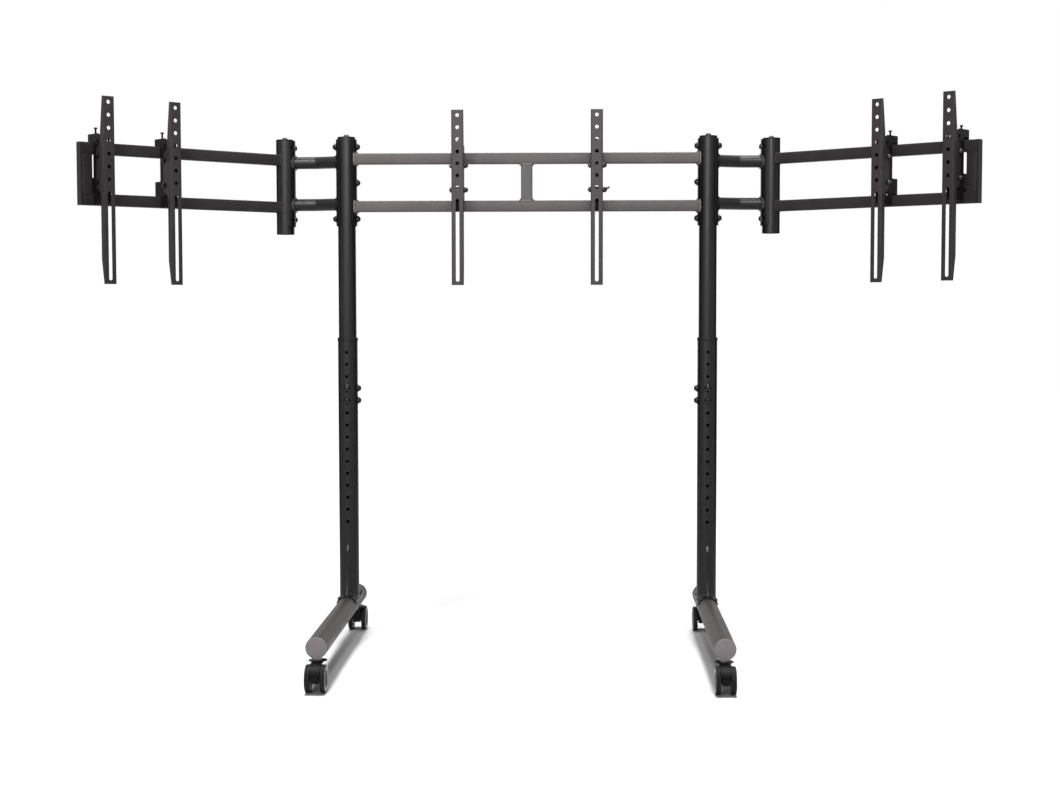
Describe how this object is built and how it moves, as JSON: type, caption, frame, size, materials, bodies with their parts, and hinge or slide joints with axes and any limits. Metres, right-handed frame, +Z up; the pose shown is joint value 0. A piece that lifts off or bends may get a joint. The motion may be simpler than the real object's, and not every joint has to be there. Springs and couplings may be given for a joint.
{
  "type": "triple monitor stand",
  "caption": "Rolling floor stand for screens side by side: telescoping posts on caster feet, fixed centre frame, folding wings, and slotted rails on hook brackets.",
  "frame": {"origin": "on the floor, midway between the posts and between the front and rear wheels", "axes": "+X to the user's right along the centre frame, -Y towards the user in front of the screens, +Z up"},
  "size_m": [2.053, 0.777, 1.3202],
  "materials": {
    "coat": "fine satin powder coat",
    "coat_light": "fine satin powder coat",
    "black_plastic": "moulded, matt",
    "cap_grey": "moulded, matt",
    "wheel": "hard tread, matt",
    "screw_steel": "black oxide"
  },
  "bodies": {
    "left_base": {"left_lower_post": "coat", "left_post_collar": "black_plastic", "left_foot_tube": "coat_light", "left_foot_cap_front": "cap_grey", "left_foot_cap_rear": "cap_grey", "left_front_caster_mount": "screw_steel", "left_rear_caster_mount": "screw_steel"},
    "right_base": {"right_lower_post": "coat", "right_post_collar": "black_plastic", "right_foot_tube": "coat_light", "right_foot_cap_front": "cap_grey", "right_foot_cap_rear": "cap_grey", "right_front_caster_mount": "screw_steel", "right_rear_caster_mount": "screw_steel"},
    "upper_frame": {"crossbar_frame": "coat_light", "left_upper_post": "coat", "left_post_cap": "black_plastic", "left_arm": "coat", "right_upper_post": "coat", "right_post_cap": "black_plastic", "right_arm": "coat"},
    "left_wing": {"left_wing_frame": "coat_light", "left_hinge_cap": "black_plastic", "left_wing_end_cap": "black_plastic"},
    "right_wing": {"right_wing_frame": "coat_light", "right_hinge_cap": "black_plastic", "right_wing_end_cap": "black_plastic"},
    "centre_left_hook": {"centre_left_hook_bracket": "coat", "centre_left_pivot_bolt": "screw_steel"},
    "centre_left_screen_rail": {"centre_left_rail": "coat"},
    "centre_left_screw": {"centre_left_levelling_screw": "screw_steel"},
    "centre_right_hook": {"centre_right_hook_bracket": "coat", "centre_right_pivot_bolt": "screw_steel"},
    "centre_right_screen_rail": {"centre_right_rail": "coat"},
    "centre_right_screw": {"centre_right_levelling_screw": "screw_steel"},
    "left_inner_hook": {"left_inner_hook_bracket": "coat", "left_inner_pivot_bolt": "screw_steel"},
    "left_inner_screen_rail": {"left_inner_rail": "coat"},
    "left_inner_screw": {"left_inner_levelling_screw": "screw_steel"},
    "left_outer_hook": {"left_outer_hook_bracket": "coat", "left_outer_pivot_bolt": "screw_steel"},
    "left_outer_screen_rail": {"left_outer_rail": "coat"},
    "left_outer_screw": {"left_outer_levelling_screw": "screw_steel"},
    "right_inner_hook": {"right_inner_hook_bracket": "coat", "right_inner_pivot_bolt": "screw_steel"},
    "right_inner_screen_rail": {"right_inner_rail": "coat"},
    "right_inner_screw": {"right_inner_levelling_screw": "screw_steel"},
    "right_outer_hook": {"right_outer_hook_bracket": "coat", "right_outer_pivot_bolt": "screw_steel"},
    "right_outer_screen_rail": {"right_outer_rail": "coat"},
    "right_outer_screw": {"right_outer_levelling_screw": "screw_steel"},
    "left_front_caster": {"left_front_caster_body": "black_plastic"},
    "left_front_wheels": {"left_front_caster_wheels": "wheel"},
    "left_rear_caster": {"left_rear_caster_body": "black_plastic"},
    "left_rear_wheels": {"left_rear_caster_wheels": "wheel"},
    "right_front_caster": {"right_front_caster_body": "black_plastic"},
    "right_front_wheels": {"right_front_caster_wheels": "wheel"},
    "right_rear_caster": {"right_rear_caster_body": "black_plastic"},
    "right_rear_wheels": {"right_rear_caster_wheels": "wheel"}
  },
  "joints": [
    {"name": "height", "type": "slide", "parent": "left_base", "child": "upper_frame", "axis": [0, 0, 1], "range_m": [-0.27, 0.09]},
    {"name": "right_base_height", "type": "slide", "parent": "upper_frame", "child": "right_base", "axis": [0, 0, 1], "range_m": [-0.09, 0.27]},
    {"name": "left_wing_fold", "type": "hinge", "parent": "upper_frame", "child": "left_wing", "pos_m": [-0.603, 0.2325, 1.143], "axis": [0, 0, 1], "range_deg": [-43.6, 31.4]},
    {"name": "right_wing_fold", "type": "hinge", "parent": "upper_frame", "child": "right_wing", "pos_m": [0.603, 0.2325, 1.143], "axis": [0, 0, -1], "range_deg": [-39.9, 35.1]},
    {"name": "centre_left_hook_slide", "type": "slide", "parent": "upper_frame", "child": "centre_left_hook", "axis": [1, 0, 0], "range_m": [-0.23, 0.13]},
    {"name": "centre_left_tilt", "type": "hinge", "parent": "centre_left_hook", "child": "centre_left_screen_rail", "pos_m": [-0.1665, 0.1575, 1.1815], "axis": [1, 0, 0], "range_deg": [-8, 8]},
    {"name": "centre_left_levelling", "type": "slide", "parent": "centre_left_hook", "child": "centre_left_screw", "axis": [0, 0, 1], "range_m": [0, 0.008]},
    {"name": "centre_right_hook_slide", "type": "slide", "parent": "upper_frame", "child": "centre_right_hook", "axis": [1, 0, 0], "range_m": [-0.135, 0.225]},
    {"name": "centre_right_tilt", "type": "hinge", "parent": "centre_right_hook", "child": "centre_right_screen_rail", "pos_m": [0.1715, 0.1575, 1.1815], "axis": [1, 0, 0], "range_deg": [-8, 8]},
    {"name": "centre_right_levelling", "type": "slide", "parent": "centre_right_hook", "child": "centre_right_screw", "axis": [0, 0, 1], "range_m": [0, 0.008]},
    {"name": "left_inner_hook_slide", "type": "slide", "parent": "left_wing", "child": "left_inner_hook", "axis": [-0.7242, -0.6896, 0], "range_m": [-0.244, 0.06]},
    {"name": "left_inner_tilt", "type": "hinge", "parent": "left_inner_hook", "child": "left_inner_screen_rail", "pos_m": [-0.82798, -0.03008, 1.1815], "axis": [0.7242, 0.6896, 0], "range_deg": [-8, 8]},
    {"name": "left_inner_levelling", "type": "slide", "parent": "left_inner_hook", "child": "left_inner_screw", "axis": [0, 0, 1], "range_m": [0, 0.008]},
    {"name": "left_outer_hook_slide", "type": "slide", "parent": "left_wing", "child": "left_outer_hook", "axis": [-0.7242, -0.6896, 0], "range_m": [-0.07, 0]},
    {"name": "left_outer_tilt", "type": "hinge", "parent": "left_outer_hook", "child": "left_outer_screen_rail", "pos_m": [-0.95217, -0.14835, 1.1825], "axis": [0.7242, 0.6896, 0], "range_deg": [-8, 8]},
    {"name": "left_outer_levelling", "type": "slide", "parent": "left_outer_hook", "child": "left_outer_screw", "axis": [0, 0, 1], "range_m": [0, 0.008]},
    {"name": "right_inner_hook_slide", "type": "slide", "parent": "right_wing", "child": "right_inner_hook", "axis": [0.7672, -0.6414, 0], "range_m": [-0.23, 0.06]},
    {"name": "right_inner_tilt", "type": "hinge", "parent": "right_inner_hook", "child": "right_inner_screen_rail", "pos_m": [0.83371, -0.00603, 1.185], "axis": [0.7672, -0.6414, 0], "range_deg": [-8, 8]},
    {"name": "right_inner_levelling", "type": "slide", "parent": "right_inner_hook", "child": "right_inner_screw", "axis": [0, 0, 1], "range_m": [0, 0.008]},
    {"name": "right_outer_hook_slide", "type": "slide", "parent": "right_wing", "child": "right_outer_hook", "axis": [0.7672, -0.6414, 0], "range_m": [-0.07, 0.003]},
    {"name": "right_outer_tilt", "type": "hinge", "parent": "right_outer_hook", "child": "right_outer_screen_rail", "pos_m": [0.97295, -0.12245, 1.1875], "axis": [0.7672, -0.6414, 0], "range_deg": [-8, 8]},
    {"name": "right_outer_levelling", "type": "slide", "parent": "right_outer_hook", "child": "right_outer_screw", "axis": [0, 0, 1], "range_m": [0, 0.008]},
    {"name": "left_front_swivel", "type": "hinge", "parent": "left_base", "child": "left_front_caster", "pos_m": [-0.445, -0.3295, 0.069], "axis": [0, 0, 1], "continuous": true},
    {"name": "left_front_wheel_spin", "type": "hinge", "parent": "left_front_caster", "child": "left_front_wheels", "pos_m": [-0.445, -0.3575, 0.031], "axis": [1, 0, 0], "continuous": true},
    {"name": "left_rear_swivel", "type": "hinge", "parent": "left_base", "child": "left_rear_caster", "pos_m": [-0.445, 0.3295, 0.069], "axis": [0, 0, 1], "continuous": true},
    {"name": "left_rear_wheel_spin", "type": "hinge", "parent": "left_rear_caster", "child": "left_rear_wheels", "pos_m": [-0.445, 0.3575, 0.031], "axis": [1, 0, 0], "continuous": true},
    {"name": "right_front_swivel", "type": "hinge", "parent": "right_base", "child": "right_front_caster", "pos_m": [0.445, -0.3295, 0.069], "axis": [0, 0, 1], "continuous": true},
    {"name": "right_front_wheel_spin", "type": "hinge", "parent": "right_front_caster", "child": "right_front_wheels", "pos_m": [0.445, -0.3575, 0.031], "axis": [1, 0, 0], "continuous": true},
    {"name": "right_rear_swivel", "type": "hinge", "parent": "right_base", "child": "right_rear_caster", "pos_m": [0.445, 0.3295, 0.069], "axis": [0, 0, 1], "continuous": true},
    {"name": "right_rear_wheel_spin", "type": "hinge", "parent": "right_rear_caster", "child": "right_rear_wheels", "pos_m": [0.445, 0.3575, 0.031], "axis": [1, 0, 0], "continuous": true}
  ],
  "couplings": [
    {"joint": "right_base_height", "follows": "height", "ratio": -1}
  ]
}
